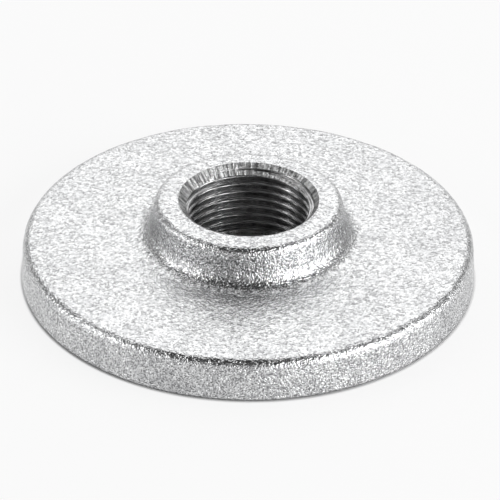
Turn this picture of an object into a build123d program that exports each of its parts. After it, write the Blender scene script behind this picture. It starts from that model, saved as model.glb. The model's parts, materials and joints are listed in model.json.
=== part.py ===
from build123d import *
import os
from math import cos, radians, sin, tan

# Threaded base flange for 1 inch pipe: one iron casting, machined in the bore and on the base.
# Millimetres. The base face lies on Z = 0 and the bore runs up the Z axis.

# Plate
flange_diameter = 115.0        # across the rim at its widest, just above the base face
plate_thickness = 11.0         # base face to the top of the plate
rim_draft = 4.0                # degrees the rim leans in going up, so that the casting leaves its mould
rim_top_rounding = 2.6
rim_foot_rounding = 0.8

# Boss that holds the pipe
overall_height = 21.3          # base face to the top of the boss
boss_top_diameter = 47.4       # across the boss wall where it would meet the top face
boss_draft = 5.0               # degrees the boss wall leans out going down
boss_edge_rounding = 2.4
boss_root_fillet = 4.8         # cast sweep from the boss wall into the plate

# Tapped bore, drilled to the crests of a 1 inch parallel pipe thread
thread_crest_diameter = 30.291
mouth_diameter = 35.4          # lead-in bevel at the top of the boss
mouth_bevel_angle = 45.0       # degrees down from the top face
back_diameter = 34.4           # bevel where the bore leaves the base face
back_bevel_angle = 45.0        # degrees up from the base face

# Places worked out from the sizes above
bore_radius = thread_crest_diameter / 2
boss_radius = boss_top_diameter / 2
boss_height = overall_height - plate_thickness
boss_root_radius = boss_radius + boss_height * tan(radians(boss_draft))
# The leaning rim would be this much wider at the base if its foot were left sharp
foot_overhang = rim_foot_rounding * ((1 + sin(radians(rim_draft))) / cos(radians(rim_draft)) - 1)
foot_radius = flange_diameter / 2 + foot_overhang
rim_top_radius = foot_radius - plate_thickness * tan(radians(rim_draft))

with BuildPart() as base_flange:
    # The casting: half of its section, spun about the bore axis
    with BuildSketch(Plane.XZ):
        with BuildLine():
            Polyline(
                (0, 0),
                (foot_radius, 0),
                (rim_top_radius, plate_thickness),
                (boss_root_radius, plate_thickness),
                (boss_radius, overall_height),
                (0, overall_height),
                close=True,
            )
        make_face()
    revolve(axis=Axis.Z)

    rings = base_flange.edges().filter_by(GeomType.CIRCLE).group_by(Axis.Z)
    foot_ring = rings[0]
    root_ring, rim_ring = rings[1].sort_by(SortBy.RADIUS)
    boss_ring = rings[2]
    fillet(root_ring, radius=boss_root_fillet)
    fillet(rim_ring, radius=rim_top_rounding)
    fillet(foot_ring, radius=rim_foot_rounding)
    fillet(boss_ring, radius=boss_edge_rounding)

    # The machining: the bore right through, then a bevel where it meets each flat face
    Hole(radius=bore_radius)
    top_face = base_flange.faces().sort_by(Axis.Z).last
    mouth_ring = top_face.edges().sort_by(SortBy.RADIUS).first
    mouth_width = mouth_diameter / 2 - bore_radius
    chamfer(mouth_ring, length=mouth_width, angle=mouth_bevel_angle, reference=top_face)
    base_face = base_flange.faces().sort_by(Axis.Z).first
    back_ring = base_face.edges().sort_by(SortBy.RADIUS).first
    back_width = back_diameter / 2 - bore_radius
    chamfer(back_ring, length=back_width, angle=back_bevel_angle, reference=base_face)

base_flange.part.label = "base_flange"
os.makedirs("parts", exist_ok=True)
export_step(base_flange.part, "parts/base_flange.step")
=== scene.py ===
import bpy
import json
import math
from mathutils import Matrix, Vector


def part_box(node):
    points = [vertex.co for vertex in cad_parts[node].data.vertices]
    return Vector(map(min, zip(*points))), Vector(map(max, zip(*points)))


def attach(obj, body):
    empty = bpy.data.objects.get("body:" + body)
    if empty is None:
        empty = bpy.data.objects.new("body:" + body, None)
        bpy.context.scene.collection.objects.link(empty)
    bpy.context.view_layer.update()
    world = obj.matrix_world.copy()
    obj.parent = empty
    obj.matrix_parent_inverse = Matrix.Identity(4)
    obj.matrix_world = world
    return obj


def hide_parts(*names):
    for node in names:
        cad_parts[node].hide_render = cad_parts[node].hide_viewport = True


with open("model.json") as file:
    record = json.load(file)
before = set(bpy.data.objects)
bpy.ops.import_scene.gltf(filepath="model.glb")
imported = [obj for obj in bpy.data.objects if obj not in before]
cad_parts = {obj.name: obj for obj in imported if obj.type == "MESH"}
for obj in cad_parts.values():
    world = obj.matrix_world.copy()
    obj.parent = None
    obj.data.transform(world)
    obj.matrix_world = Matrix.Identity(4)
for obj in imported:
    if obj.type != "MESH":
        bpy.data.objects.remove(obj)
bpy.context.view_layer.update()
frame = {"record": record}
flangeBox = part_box("base_flange")
pipeThread = next(mount for mount in frame["record"]["mounts"] if mount["name"] == "pipe_thread")

mm = 0.001


def plugIn(tree, socket, value):
    if isinstance(value, bpy.types.NodeSocket):
        tree.links.new(value, socket)
    else:
        socket.default_value = value


def addNode(tree, kind, wires=None, **settings):
    made = tree.nodes.new(kind)
    for name, value in settings.items():
        setattr(made, name, value)
    for socket, value in (wires or {}).items():
        plugIn(tree, made.inputs[socket], value)
    return made


def calc(tree, operation, *values):
    made = addNode(tree, "ShaderNodeMath", dict(enumerate(values)), operation=operation)
    return made.outputs[0]


def vectorCalc(tree, operation, *values):
    made = addNode(tree, "ShaderNodeVectorMath", dict(enumerate(values)), operation=operation)
    return made.outputs["Value" if operation in ("DOT_PRODUCT", "LENGTH", "DISTANCE") else "Vector"]


def stretched(tree, vector, amount):
    made = addNode(tree, "ShaderNodeVectorMath", {0: vector, "Scale": amount}, operation="SCALE")
    return made.outputs["Vector"]


def splitUp(tree, vector):
    return addNode(tree, "ShaderNodeSeparateXYZ", {0: vector}).outputs


def joinUp(tree, x, y, z):
    return addNode(tree, "ShaderNodeCombineXYZ", {0: x, 1: y, 2: z}).outputs[0]


def remap(tree, value, fromLow, fromHigh, toLow, toHigh, curve="LINEAR"):
    wires = {"Value": value, 1: fromLow, 2: fromHigh, 3: toLow, 4: toHigh}
    return addNode(tree, "ShaderNodeMapRange", wires, interpolation_type=curve).outputs["Result"]


def noise(tree, place, wavelength, seed, detail=2.0, roughness=0.5):
    if isinstance(wavelength, bpy.types.NodeSocket):
        scale = calc(tree, "DIVIDE", 1.0, wavelength)
    else:
        scale = 1 / wavelength
    wires = {"Vector": place, "W": seed, "Scale": scale, "Detail": detail, "Roughness": roughness}
    return addNode(tree, "ShaderNodeTexNoise", wires, noise_dimensions="4D").outputs["Fac"]


cameraSetup = {
    "distance": 714.7 * mm,      # from the middle of the base face
    "elevation": 33.1,           # degrees above the floor
    "lens": 202.0,               # on a 36 mm sensor
    "aim": (0.46 * mm, 0.0, 5.96 * mm),
    "roll": 0.6,                 # degrees, so the right side sits a little low
}


def makeCamera(setup):
    data = bpy.data.cameras.new("camera")
    data.lens = setup["lens"]
    data.sensor_width = 36.0
    data.clip_start = 0.05
    data.clip_end = 20.0
    camera = bpy.data.objects.new("camera", data)
    elevation = math.radians(setup["elevation"])
    place = setup["distance"] * Vector((0, -math.cos(elevation), math.sin(elevation)))
    look = (Vector(setup["aim"]) - place).to_track_quat("-Z", "Y")
    turn = Matrix.Rotation(math.radians(setup["roll"]), 4, "Z")
    camera.matrix_world = Matrix.Translation(place) @ look.to_matrix().to_4x4() @ turn
    bpy.context.scene.collection.objects.link(camera)
    bpy.context.scene.camera = camera


makeCamera(cameraSetup)
print("camera placed")


def newMaterial(name):
    material = bpy.data.materials.new(name)
    material.use_nodes = True
    return material, material.node_tree, material.node_tree.nodes["Principled BSDF"]


def mixTones(tree, amount, lowTone, highTone):
    wires = {"Factor": amount, 6: lowTone, 7: highTone}
    return addNode(tree, "ShaderNodeMix", wires, data_type="RGBA").outputs[2]


def bumpBy(tree, height, depth, under=None):
    wires = {"Height": height, "Distance": depth, "Strength": 1.0}
    if under is not None:
        wires["Normal"] = under
    return addNode(tree, "ShaderNodeBump", wires).outputs["Normal"]


def cells(tree, place, spacing):
    wires = {"Vector": place, "Scale": 1 / spacing, "Randomness": 1.0}
    return addNode(tree, "ShaderNodeTexVoronoi", wires, feature="F1")


zincFinish = {
    "brightTone": (0.84, 0.845, 0.85, 1),
    "dullAndShadedTone": (0.52, 0.525, 0.535, 1),
    "darkTone": (0.13, 0.13, 0.135, 1),
    "patchSize": 9 * mm,
    "grainSize": 1.1 * mm,
    "grainDepth": 0.24 * mm,
    "speckSize": 0.40 * mm,
    "speckDepth": 0.14 * mm,
    "wallSpeckDepth": 0.42 * mm, # the steep faces came out of the bath rougher
    "creaseSize": 1.05 * mm,
    "creaseDepth": 0.075 * mm,
    "pitSpacing": 1.9 * mm,
    "pitReach": 0.30 * mm,
    "pitDepth": 0.12 * mm,
    "paintedFootShadow": 0.7 * mm,       # height of the painted shadow line along the foot, where the casting meets the floor
    "paintedFootShadowFull": 0.2 * mm,   # below this it is at its darkest
    "turnedSpacing": 0.6 * mm,
    "turnedDepth": 0.10 * mm,    # on the faced base only
}


def makePits(tree, place, finish):
    found = cells(tree, place, finish["pitSpacing"])
    chosen = calc(tree, "GREATER_THAN", splitUp(tree, found.outputs["Color"])[0], 0.55)
    reach = finish["pitReach"] / finish["pitSpacing"]
    shape = remap(tree, found.outputs["Distance"], 0.0, reach, 1.0, 0.0, "SMOOTHSTEP")
    return calc(tree, "MULTIPLY", chosen, shape)


def makeCreases(tree, place, finish):
    winding = noise(tree, place, finish["creaseSize"], 21.3, 1.0, 0.5)
    fromMiddle = calc(tree, "ABSOLUTE", calc(tree, "SUBTRACT", winding, 0.5))
    line = remap(tree, fromMiddle, 0.0, 0.10, 1.0, 0.0, "SMOOTHSTEP")
    gaps = remap(tree, noise(tree, place, finish["creaseSize"], 30.1, 2.0, 0.6), 0.42, 0.58, 0.0, 1.0)
    return calc(tree, "MULTIPLY", line, gaps)


def makeZincFinish(name, finish, isFaced):
    material, tree, shader = newMaterial(name)
    coordinates = addNode(tree, "ShaderNodeTexCoord").outputs
    place = coordinates["Object"]
    spot = splitUp(tree, place)
    patches = noise(tree, place, finish["patchSize"], 3.1, 3.0, 0.6)
    grain = noise(tree, place, finish["grainSize"], 7.7, 2.0, 0.6)
    specks = noise(tree, place, finish["speckSize"], 12.4, 1.0, 0.5)
    pits = makePits(tree, place, finish)
    creases = makeCreases(tree, place, finish)

    # tone: bright zinc, duller in random patches, with painted shade in the hollows of the grain and darker
    # painted shade in pits and creases
    patchy = remap(tree, patches, 0.38, 0.66, 0.0, 0.3)
    # random dull patches, plus painted shade in the hollows of the grain
    patchAndHollowShade = calc(tree, "ADD", patchy, remap(tree, grain, 0.58, 0.30, 0.0, 0.8))
    tone = mixTones(tree, patchAndHollowShade, finish["brightTone"], finish["dullAndShadedTone"])
    facing = splitUp(tree, coordinates["Normal"])["Z"]
    steepness = remap(tree, facing, 0.65, 0.20, 0.0, 1.0)
    # painted shade in the pits and creases
    pitAndCreaseShade = calc(tree, "MAXIMUM", calc(tree, "MULTIPLY", pits, 0.6), calc(tree, "MULTIPLY", creases, 0.34))
    # painted shade in the hollows of the fine specks, heavier on the steep walls
    wallSpeckShade = calc(tree, "MULTIPLY", remap(tree, specks, 0.52, 0.38, 0.0, 0.8), steepness)
    tone = mixTones(tree, calc(tree, "MAXIMUM", pitAndCreaseShade, wallSpeckShade), tone, finish["darkTone"])
    if not isFaced:
        # painted shadow: the tone darkens towards the foot, where the casting meets the floor
        footShadowMask = remap(tree, spot["Z"], finish["paintedFootShadowFull"], finish["paintedFootShadow"], 0.75, 0.0)
        tone = mixTones(tree, footShadowMask, tone, finish["darkTone"])

    # relief: rougher where the face is steep
    speckDepth = remap(tree, steepness, 0.0, 1.0, finish["speckDepth"], finish["wallSpeckDepth"])
    normal = bumpBy(tree, grain, finish["grainDepth"])
    normal = bumpBy(tree, specks, speckDepth, normal)
    hollows = calc(tree, "MAXIMUM", pits, creases)
    normal = bumpBy(tree, calc(tree, "SUBTRACT", 1.0, hollows), finish["creaseDepth"], normal)
    if isFaced:
        radius = vectorCalc(tree, "LENGTH", joinUp(tree, spot["X"], spot["Y"], 0.0))
        rings = noise(tree, joinUp(tree, radius, 0.0, 0.0), finish["turnedSpacing"], 2.6, 2.0, 0.6)
        normal = bumpBy(tree, rings, finish["turnedDepth"], normal)
    plugIn(tree, shader.inputs["Base Color"], tone)
    plugIn(tree, shader.inputs["Roughness"], remap(tree, grain, 0.3, 0.7, 0.28, 0.18))
    plugIn(tree, shader.inputs["Normal"], normal)
    shader.inputs["Metallic"].default_value = 1.0
    return material


threadFinish = {
    "tone": (0.70, 0.70, 0.705, 1),
    "darkTone": (0.12, 0.12, 0.12, 1),
    "linesPerPitch": 8.0,
    "lineDepth": 0.21 * mm,
    "driftSize": 13 * mm,        # how far a line runs before it fades
    "stainSize": 3 * mm,
    "roughness": 0.26,
}


def makeThreadFinish(finish, size):
    material, tree, shader = newMaterial("cutThread")
    place = addNode(tree, "ShaderNodeTexCoord").outputs["Object"]
    spot = splitUp(tree, place)
    angle = calc(tree, "ARCTAN2", spot["Y"], spot["X"])
    # each turn of the thread maps onto one circle, so the lines follow the helix without a seam
    turnsUp = calc(tree, "MULTIPLY", spot["Z"], 2 * math.pi / size["threadPitch"])
    climb = calc(tree, "SUBTRACT", turnsUp, angle)
    wheel = finish["linesPerPitch"] / (2 * math.pi)
    around = size["crestRadius"] / finish["driftSize"]
    wound = joinUp(tree, calc(tree, "MULTIPLY", calc(tree, "COSINE", climb), wheel),
                   calc(tree, "MULTIPLY", calc(tree, "SINE", climb), wheel),
                   calc(tree, "MULTIPLY", calc(tree, "COSINE", angle), around))
    lines = noise(tree, wound, 1.0, calc(tree, "MULTIPLY", calc(tree, "SINE", angle), around), 3.0, 0.65)
    stains = noise(tree, place, finish["stainSize"], 15.2, 3.0, 0.6)
    stained = remap(tree, stains, 0.45, 0.65, 0.0, 0.35)
    darkness = calc(tree, "ADD", remap(tree, lines, 0.38, 0.62, 0.0, 0.7), stained)
    plugIn(tree, shader.inputs["Base Color"], mixTones(tree, darkness, finish["tone"], finish["darkTone"]))
    plugIn(tree, shader.inputs["Normal"], bumpBy(tree, lines, finish["lineDepth"]))
    shader.inputs["Metallic"].default_value = 1.0
    shader.inputs["Roughness"].default_value = finish["roughness"]
    return material


bevelFinish = {
    "tone": (0.92, 0.92, 0.925, 1),
    "darkTone": (0.09, 0.09, 0.09, 1),
    "chatterSize": 0.75 * mm,    # round the mouth
    "chatterDepth": 0.50 * mm,
    "changeDown": 0.25,          # how fast it changes down the bevel, against round the mouth
    "gritSize": 0.4 * mm,
    "gritDepth": 0.14 * mm,
    "roughness": 0.38,
}


def makeBevelFinish(finish, size):
    material, tree, shader = newMaterial("cutBevel")
    place = addNode(tree, "ShaderNodeTexCoord").outputs["Object"]
    spot = splitUp(tree, place)
    flat = joinUp(tree, spot["X"], spot["Y"], 0.0)
    onMouth = stretched(tree, vectorCalc(tree, "NORMALIZE", flat), size["mouthRadius"])
    # the chatter runs down the bevel, so it changes round the mouth far more than down it
    downBevel = calc(tree, "MULTIPLY", spot["Z"], finish["changeDown"])
    drawn = vectorCalc(tree, "ADD", onMouth, joinUp(tree, 0.0, 0.0, downBevel))
    chatter = noise(tree, drawn, finish["chatterSize"], 8.8, 2.0, 0.6)
    grit = noise(tree, place, finish["gritSize"], 6.1, 1.0, 0.5)
    gritty = remap(tree, grit, 0.45, 0.65, 0.0, 0.4)
    streaks = calc(tree, "ADD", remap(tree, chatter, 0.42, 0.60, 0.0, 0.7), gritty)
    plugIn(tree, shader.inputs["Base Color"], mixTones(tree, streaks, finish["tone"], finish["darkTone"]))
    normal = bumpBy(tree, chatter, finish["chatterDepth"])
    plugIn(tree, shader.inputs["Normal"], bumpBy(tree, grit, finish["gritDepth"], normal))
    shader.inputs["Metallic"].default_value = 1.0
    shader.inputs["Roughness"].default_value = finish["roughness"]
    return material


# one casting: its section spun about the bore, then the thread cut into it
flangeSizes = {
    "radius": flangeBox[1].x,
    "height": flangeBox[1].z,
    "plateThickness": 11.0 * mm,
    "rimDraft": 4.0,             # degrees
    "rimTopRounding": 2.6 * mm,
    "rimFootRounding": 0.8 * mm,
    "bossRadius": 23.7 * mm,     # at the top
    "bossDraft": 5.0,            # degrees
    "bossEdgeRounding": 2.4 * mm,
    "bossRootFillet": 4.8 * mm,
    "crestRadius": pipeThread["dims"]["r_mm"] * mm,
    "threadDepth": 1.479 * mm,
    "threadPitch": 25.4 / 11 * mm,
    "flatShare": 1 / 6,          # of a pitch, on the crest and again at the root
    "mouthRadius": 17.7 * mm,
    "backRadius": 17.2 * mm,
    "segments": 400,
    "swell": 0.30 * mm,          # slow unevenness of the casting
    "swellSize": 12 * mm,
    "pebble": 0.25 * mm,         # the cast skin's own relief
    "pebbleSize": 2.8 * mm,
    "lipFade": 1.0 * mm,         # the relief fades out this far from the mouth
    "baseFade": 0.8 * mm,        # and this far above the base
    "seed": 4.2,
}


def sectionCorners(size):
    rimLean = math.tan(math.radians(size["rimDraft"]))
    footLean = (1 + math.sin(math.radians(size["rimDraft"]))) / math.cos(math.radians(size["rimDraft"])) - 1
    footRadius = size["radius"] + size["rimFootRounding"] * footLean
    rimRadius = footRadius - size["plateThickness"] * rimLean
    bossHeight = size["height"] - size["plateThickness"]
    rootRadius = size["bossRadius"] + bossHeight * math.tan(math.radians(size["bossDraft"]))
    mouthDepth = size["mouthRadius"] - size["crestRadius"]
    backDepth = size["backRadius"] - size["crestRadius"]
    # name, radius, height, rounding, steps in the rounding, row spacing up to the next corner
    return [
        ("Base Inner", size["backRadius"], 0.0, 0.0, 1, 6.0 * mm),
        ("Foot", footRadius, 0.0, size["rimFootRounding"], 4, 0.6 * mm),
        ("Rim Top", rimRadius, size["plateThickness"], size["rimTopRounding"], 8, 0.9 * mm),
        ("Boss Root", rootRadius, size["plateThickness"], size["bossRootFillet"], 12, 0.5 * mm),
        ("Boss Top", size["bossRadius"], size["height"], size["bossEdgeRounding"], 8, 0.55 * mm),
        ("Mouth", size["mouthRadius"], size["height"], 0.0, 1, 0.26 * mm),
        ("Bore Top", size["crestRadius"], size["height"] - mouthDepth, 0.0, 1, 0.154 * mm),
        ("Bore Foot", size["crestRadius"], backDepth, 0.0, 1, 0.30 * mm),
    ]


def switchByCorner(tree, dataType, index, values):
    switch = addNode(tree, "GeometryNodeIndexSwitch", data_type=dataType)
    while len(switch.index_switch_items) < len(values):
        switch.index_switch_items.new()
    plugIn(tree, switch.inputs["Index"], index)
    for number, value in enumerate(values):
        plugIn(tree, switch.inputs[number + 1], value)
    return switch.outputs[0]


def drawSection(tree, given, corners):
    # the half section, as a closed line of corners in the order they are listed
    index = addNode(tree, "GeometryNodeInputIndex").outputs[0]
    line = addNode(tree, "GeometryNodeMeshLine", {"Count": len(corners)}).outputs[0]
    spots = switchByCorner(tree, "VECTOR", index, [given[c[0] + " Corner"] for c in corners])
    line = addNode(tree, "GeometryNodeSetPosition", {"Geometry": line, "Position": spots}).outputs[0]
    line = addNode(tree, "GeometryNodeMeshToCurve", {"Mesh": line}).outputs[0]
    line = addNode(tree, "GeometryNodeSetSplineCyclic", {"Geometry": line, "Cyclic": True}).outputs[0]
    rounding = switchByCorner(tree, "FLOAT", index, [given[c[0] + " Rounding"] for c in corners])
    steps = switchByCorner(tree, "INT", index, [c[4] for c in corners])
    spacing = switchByCorner(tree, "FLOAT", index, [given[c[0] + " Row Spacing"] for c in corners])
    kept = addNode(tree, "GeometryNodeCaptureAttribute", {"Geometry": line}, domain="POINT")
    kept.capture_items.new("FLOAT", "spacing")
    plugIn(tree, kept.inputs[1], spacing)
    wires = {"Curve": kept.outputs[0], "Count": steps, "Radius": rounding}
    rounded = addNode(tree, "GeometryNodeFilletCurve", wires, mode="POLY").outputs[0]

    # rows between corners, as close as each stretch asks
    position = addNode(tree, "GeometryNodeInputPosition").outputs[0]
    wires = {"Point Index": index, "Offset": 1}
    following = addNode(tree, "GeometryNodeOffsetPointInCurve", wires).outputs["Point Index"]
    wires = {"Value": position, "Index": following}
    nextSpot = addNode(tree, "GeometryNodeFieldAtIndex", wires, data_type="FLOAT_VECTOR", domain="POINT")
    stretch = vectorCalc(tree, "DISTANCE", position, nextSpot.outputs[0])
    rows = calc(tree, "CEIL", calc(tree, "DIVIDE", stretch, kept.outputs[1]))
    wires = {"Curve": rounded, "Cuts": calc(tree, "SUBTRACT", rows, 1.0)}
    return addNode(tree, "GeometryNodeSubdivideCurve", wires).outputs[0]


def spinSection(tree, given, section):
    # the section's own x is measured from a ring at the mouth
    wires = {"Resolution": given["Segments"], "Radius": given["Mouth Radius"]}
    ring = addNode(tree, "GeometryNodeCurvePrimitiveCircle", wires, mode="RADIUS").outputs[0]
    spun = addNode(tree, "GeometryNodeCurveToMesh", {"Curve": ring, "Profile Curve": section}).outputs[0]
    return addNode(tree, "GeometryNodeFlipFaces", {"Mesh": spun}).outputs[0]


def measureSpot(tree):
    position = addNode(tree, "GeometryNodeInputPosition").outputs[0]
    spot = splitUp(tree, position)
    flat = joinUp(tree, spot["X"], spot["Y"], 0.0)
    return {"position": position, "x": spot["X"], "y": spot["Y"], "z": spot["Z"], "flat": flat,
            "reach": vectorCalc(tree, "LENGTH", flat)}


def grooveReach(tree, given, spot):
    # distance of the thread form from the axis: flat crest, straight flank, flat root
    turn = calc(tree, "DIVIDE", calc(tree, "ARCTAN2", spot["y"], spot["x"]), 2 * math.pi)
    winding = calc(tree, "SUBTRACT", calc(tree, "DIVIDE", spot["z"], given["Pitch"]), turn)
    rise = calc(tree, "PINGPONG", winding, 0.5)
    crestEnd = calc(tree, "DIVIDE", given["Flat Share"], 2.0)
    rootStart = calc(tree, "SUBTRACT", 0.5, crestEnd)
    return remap(tree, rise, crestEnd, rootStart, given["Crest Radius"], given["Root Radius"])


def cutThread(tree, given, solid):
    # a groove that winds up the bore, wherever it lies deeper than the section
    spot = measureSpot(tree)
    newReach = calc(tree, "MAXIMUM", spot["reach"], grooveReach(tree, given, spot))
    outward = stretched(tree, spot["flat"], calc(tree, "DIVIDE", newReach, spot["reach"]))
    moved = vectorCalc(tree, "ADD", outward, joinUp(tree, 0.0, 0.0, spot["z"]))
    return addNode(tree, "GeometryNodeSetPosition", {"Geometry": solid, "Position": moved}).outputs[0]


def reliefLayer(tree, given, spot, name, shift):
    rise = noise(tree, spot["position"], given[name + " Size"], calc(tree, "ADD", given["Seed"], shift), 1.0)
    return calc(tree, "MULTIPLY", calc(tree, "SUBTRACT", rise, 0.60), given[name])


def castRelief(tree, given, solid):
    # the cast skin only sinks in, and the cut faces and the base stay true
    spot = measureSpot(tree)
    swell = reliefLayer(tree, given, spot, "Swell", 0.0)
    height = calc(tree, "ADD", swell, reliefLayer(tree, given, spot, "Pebble", 9.0))
    height = calc(tree, "MINIMUM", height, 0.0)
    lipEnd = calc(tree, "ADD", given["Mouth Radius"], given["Lip Fade"])
    offMouth = remap(tree, spot["reach"], given["Mouth Radius"], lipEnd, 0.0, 1.0, "SMOOTHSTEP")
    offBase = remap(tree, spot["z"], 0.0, given["Base Fade"], 0.0, 1.0, "SMOOTHSTEP")
    height = calc(tree, "MULTIPLY", height, calc(tree, "MULTIPLY", offMouth, offBase))
    normal = addNode(tree, "GeometryNodeInputNormal").outputs[0]
    wires = {"Geometry": solid, "Offset": stretched(tree, normal, height)}
    return addNode(tree, "GeometryNodeSetPosition", wires).outputs[0]


def finishFaces(tree, given, solid):
    spot = measureSpot(tree)
    normal = addNode(tree, "GeometryNodeInputNormal").outputs[0]
    looksIn = calc(tree, "LESS_THAN", vectorCalc(tree, "DOT_PRODUCT", normal, spot["flat"]), 0.0)
    isCut = calc(tree, "MULTIPLY", looksIn, calc(tree, "LESS_THAN", spot["reach"], given["Mouth Radius"]))
    offThread = calc(tree, "SUBTRACT", spot["reach"], grooveReach(tree, given, spot))
    # a face counts as bevel once it stands clear of the thread's own form
    isBevel = calc(tree, "MULTIPLY", isCut, calc(tree, "GREATER_THAN", offThread, 0.03 * mm))
    pastBore = calc(tree, "MAXIMUM", calc(tree, "GREATER_THAN", spot["z"], given["Bore Top Height"]),
                    calc(tree, "LESS_THAN", spot["z"], given["Bore Foot Height"]))
    isBevel = calc(tree, "MULTIPLY", isBevel, pastBore)
    isBase = calc(tree, "LESS_THAN", splitUp(tree, normal)["Z"], -0.999)
    smooth = addNode(tree, "GeometryNodeSetShadeSmooth", {"Geometry": solid, "Shade Smooth": True}).outputs[0]
    real = addNode(tree, "GeometryNodeRealizeInstances", {"Geometry": smooth}).outputs[0]
    wires = {"Geometry": real, "Material": given["Cast Skin"]}
    dressed = addNode(tree, "GeometryNodeSetMaterial", wires).outputs[0]
    for chosen, name in ((isBase, "Faced Base"), (isCut, "Cut Thread"), (isBevel, "Cut Bevel")):
        wires = {"Geometry": dressed, "Selection": chosen, "Material": given[name]}
        dressed = addNode(tree, "GeometryNodeSetMaterial", wires).outputs[0]
    return dressed


def makeFlangeTree(corners):
    tree = bpy.data.node_groups.new("threadedFlange", "GeometryNodeTree")
    tree.interface.new_socket("Geometry", in_out="OUTPUT", socket_type="NodeSocketGeometry")
    kinds = {}
    for corner in corners:
        kinds[corner[0] + " Corner"] = "NodeSocketVector"
        kinds[corner[0] + " Rounding"] = "NodeSocketFloat"
        kinds[corner[0] + " Row Spacing"] = "NodeSocketFloat"
    for name in ("Crest Radius", "Root Radius", "Pitch", "Flat Share", "Mouth Radius", "Bore Top Height",
                 "Bore Foot Height", "Swell", "Swell Size", "Pebble", "Pebble Size", "Lip Fade", "Base Fade",
                 "Seed"):
        kinds[name] = "NodeSocketFloat"
    kinds["Segments"] = "NodeSocketInt"
    for name in ("Cast Skin", "Faced Base", "Cut Thread", "Cut Bevel"):
        kinds[name] = "NodeSocketMaterial"
    for name, kind in kinds.items():
        tree.interface.new_socket(name, in_out="INPUT", socket_type=kind)
    given = tree.nodes.new("NodeGroupInput").outputs
    section = drawSection(tree, given, corners)
    solid = spinSection(tree, given, section)
    solid = cutThread(tree, given, solid)
    solid = castRelief(tree, given, solid)
    dressed = finishFaces(tree, given, solid)
    leave = tree.nodes.new("NodeGroupOutput")
    tree.links.new(dressed, leave.inputs[0])
    return tree


def makePlain(name, tree, values):
    # fills in the tree's inputs, then keeps its mesh and drops the modifier
    holder = bpy.data.objects.new(name, bpy.data.meshes.new(name))
    bpy.context.scene.collection.objects.link(holder)
    modifier = holder.modifiers.new(tree.name, "NODES")
    modifier.node_group = tree
    for item in tree.interface.items_tree:
        if item.in_out == "INPUT":
            modifier[item.identifier] = values[item.name]
    evaluated = holder.evaluated_get(bpy.context.evaluated_depsgraph_get())
    plain = bpy.data.meshes.new_from_object(evaluated)
    holder.modifiers.remove(modifier)
    holder.data = plain
    return holder


def makeFlange(size):
    corners = sectionCorners(size)
    values = {
        "Crest Radius": size["crestRadius"],
        "Root Radius": size["crestRadius"] + size["threadDepth"],
        "Pitch": size["threadPitch"],
        "Flat Share": size["flatShare"],
        "Mouth Radius": size["mouthRadius"],
        "Bore Top Height": size["height"] - (size["mouthRadius"] - size["crestRadius"]),
        "Bore Foot Height": size["backRadius"] - size["crestRadius"],
        "Swell": size["swell"],
        "Swell Size": size["swellSize"],
        "Pebble": size["pebble"],
        "Pebble Size": size["pebbleSize"],
        "Lip Fade": size["lipFade"],
        "Base Fade": size["baseFade"],
        "Seed": size["seed"],
        "Segments": size["segments"],
        "Cast Skin": makeZincFinish("hotDipZinc", zincFinish, False),
        "Faced Base": makeZincFinish("facedZinc", zincFinish, True),
        "Cut Thread": makeThreadFinish(threadFinish, size),
        "Cut Bevel": makeBevelFinish(bevelFinish, size),
    }
    for name, radius, height, rounding, steps, spacing in corners:
        values[name + " Corner"] = (radius - size["mouthRadius"], -height, 0.0)
        values[name + " Rounding"] = rounding
        values[name + " Row Spacing"] = spacing
    return makePlain("flangeCasting", makeFlangeTree(corners), values)


flange = makeFlange(flangeSizes)
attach(flange, "root")
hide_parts("base_flange")
triangles = sum(len(face.vertices) - 2 for face in flange.data.polygons)
print("flange made,", triangles, "triangles,", len(flange.data.materials), "finishes")


floorSetup = {
    "halfSide": 4.0,
    "tone": (0.90, 0.90, 0.90, 1),
    "glow": 0.85,                # share of plain white, which the shadow is taken from
    "glowStart": 57.3 * mm,      # no glow under the casting or down its bore
    "glowFull": 58.2 * mm,
}


def makeFloor(setup):
    material, tree, shader = newMaterial("paleFloor")
    tree.nodes.remove(shader)
    place = addNode(tree, "ShaderNodeTexCoord").outputs["Object"]
    away = vectorCalc(tree, "LENGTH", place)
    path = addNode(tree, "ShaderNodeLightPath").outputs
    mirrored = calc(tree, "MAXIMUM", path["Is Glossy Ray"], path["Is Transmission Ray"])
    seen = calc(tree, "MAXIMUM", path["Is Camera Ray"], mirrored)
    clear = remap(tree, away, setup["glowStart"], setup["glowFull"], 0.0, setup["glow"], "SMOOTHSTEP")
    matt = addNode(tree, "ShaderNodeBsdfDiffuse", {"Color": setup["tone"]}).outputs[0]
    white = addNode(tree, "ShaderNodeEmission", {"Color": (1, 1, 1, 1), "Strength": 1.0}).outputs[0]
    wires = {"Fac": calc(tree, "MULTIPLY", seen, clear), 1: matt, 2: white}
    mixed = addNode(tree, "ShaderNodeMixShader", wires).outputs[0]
    plugIn(tree, tree.nodes["Material Output"].inputs["Surface"], mixed)
    mesh = bpy.data.meshes.new("floor")
    half = setup["halfSide"]
    corners = [(-half, -half, 0), (half, -half, 0), (half, half, 0), (-half, half, 0)]
    mesh.from_pydata(corners, [], [(0, 1, 2, 3)])
    mesh.materials.append(material)
    floor = bpy.data.objects.new("floor", mesh)
    bpy.context.scene.collection.objects.link(floor)


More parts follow.
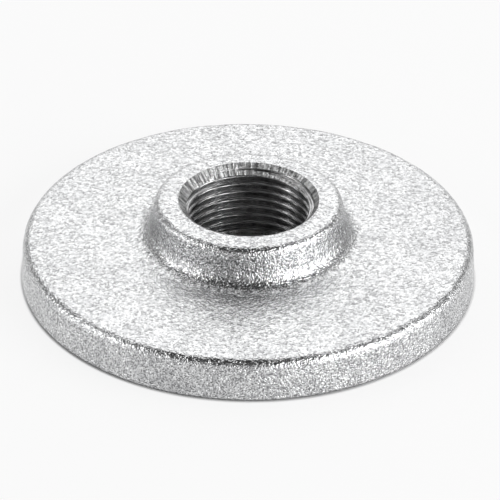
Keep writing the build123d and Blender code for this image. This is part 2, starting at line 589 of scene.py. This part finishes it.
# azimuth 0 is behind the flange as the camera sees it, 90 to its right
softboxes = {
    "backBox": {
        "azimuth": 0, "elevation": 47, "distance": 1.1,
        "width": 1.5, "height": 1.37, "brightness": 1.35,
    },
    "rightBox": {
        "azimuth": 117, "elevation": 20, "distance": 1.0,
        "width": 1.02, "height": 0.73, "brightness": 4.2,
    },
    "leftBox": {
        "azimuth": -102, "elevation": 21, "distance": 1.0,
        "width": 0.45, "height": 0.78, "brightness": 3.1,
    },
}


def makeSoftbox(name, box):
    data = bpy.data.lights.new(name, "AREA")
    data.shape = "RECTANGLE"
    data.size = box["width"]
    data.size_y = box["height"]
    data.energy = box["brightness"] * math.pi * box["width"] * box["height"]
    lamp = bpy.data.objects.new(name, data)
    azimuth = math.radians(box["azimuth"])
    elevation = math.radians(box["elevation"])
    level = Vector((math.sin(azimuth), math.cos(azimuth), 0)) * math.cos(elevation)
    place = box["distance"] * (level + Vector((0, 0, math.sin(elevation))))
    lamp.matrix_world = Matrix.Translation(place) @ (-place).to_track_quat("-Z", "Y").to_matrix().to_4x4()
    lamp.visible_camera = False
    bpy.context.scene.collection.objects.link(lamp)


roomLight = [                    # degrees above the horizon, brightness
    (0.0, 0.45),
    (4.0, 0.36),
    (8.0, 0.22),
    (28.0, 0.18),
    (40.0, 0.03),
    (90.0, 0.03),
]


def makeWorld(levels):
    world = bpy.data.worlds.new("studio")
    bpy.context.scene.world = world
    world.use_nodes = True
    tree = world.node_tree
    ahead = addNode(tree, "ShaderNodeTexCoord").outputs["Generated"]
    ramp = addNode(tree, "ShaderNodeValToRGB", {"Fac": splitUp(tree, ahead)["Z"]})
    while len(ramp.color_ramp.elements) < len(levels):
        ramp.color_ramp.elements.new(0.5)
    for element, (degrees, level) in zip(ramp.color_ramp.elements, levels):
        element.position = math.sin(math.radians(degrees))
        element.color = (level, level, level, 1)
    # the camera sees plain white past the floor, and only the object sees the ramp
    straight = addNode(tree, "ShaderNodeLightPath").outputs["Is Camera Ray"]
    seen = mixTones(tree, straight, ramp.outputs["Color"], (1, 1, 1, 1))
    plugIn(tree, tree.nodes["Background"].inputs["Color"], seen)
    tree.nodes["Background"].inputs["Strength"].default_value = 1.0


makeFloor(floorSetup)
for name, box in softboxes.items():
    makeSoftbox(name, box)
makeWorld(roomLight)
bpy.context.scene.view_settings.view_transform = "Standard"
print("stage lit")
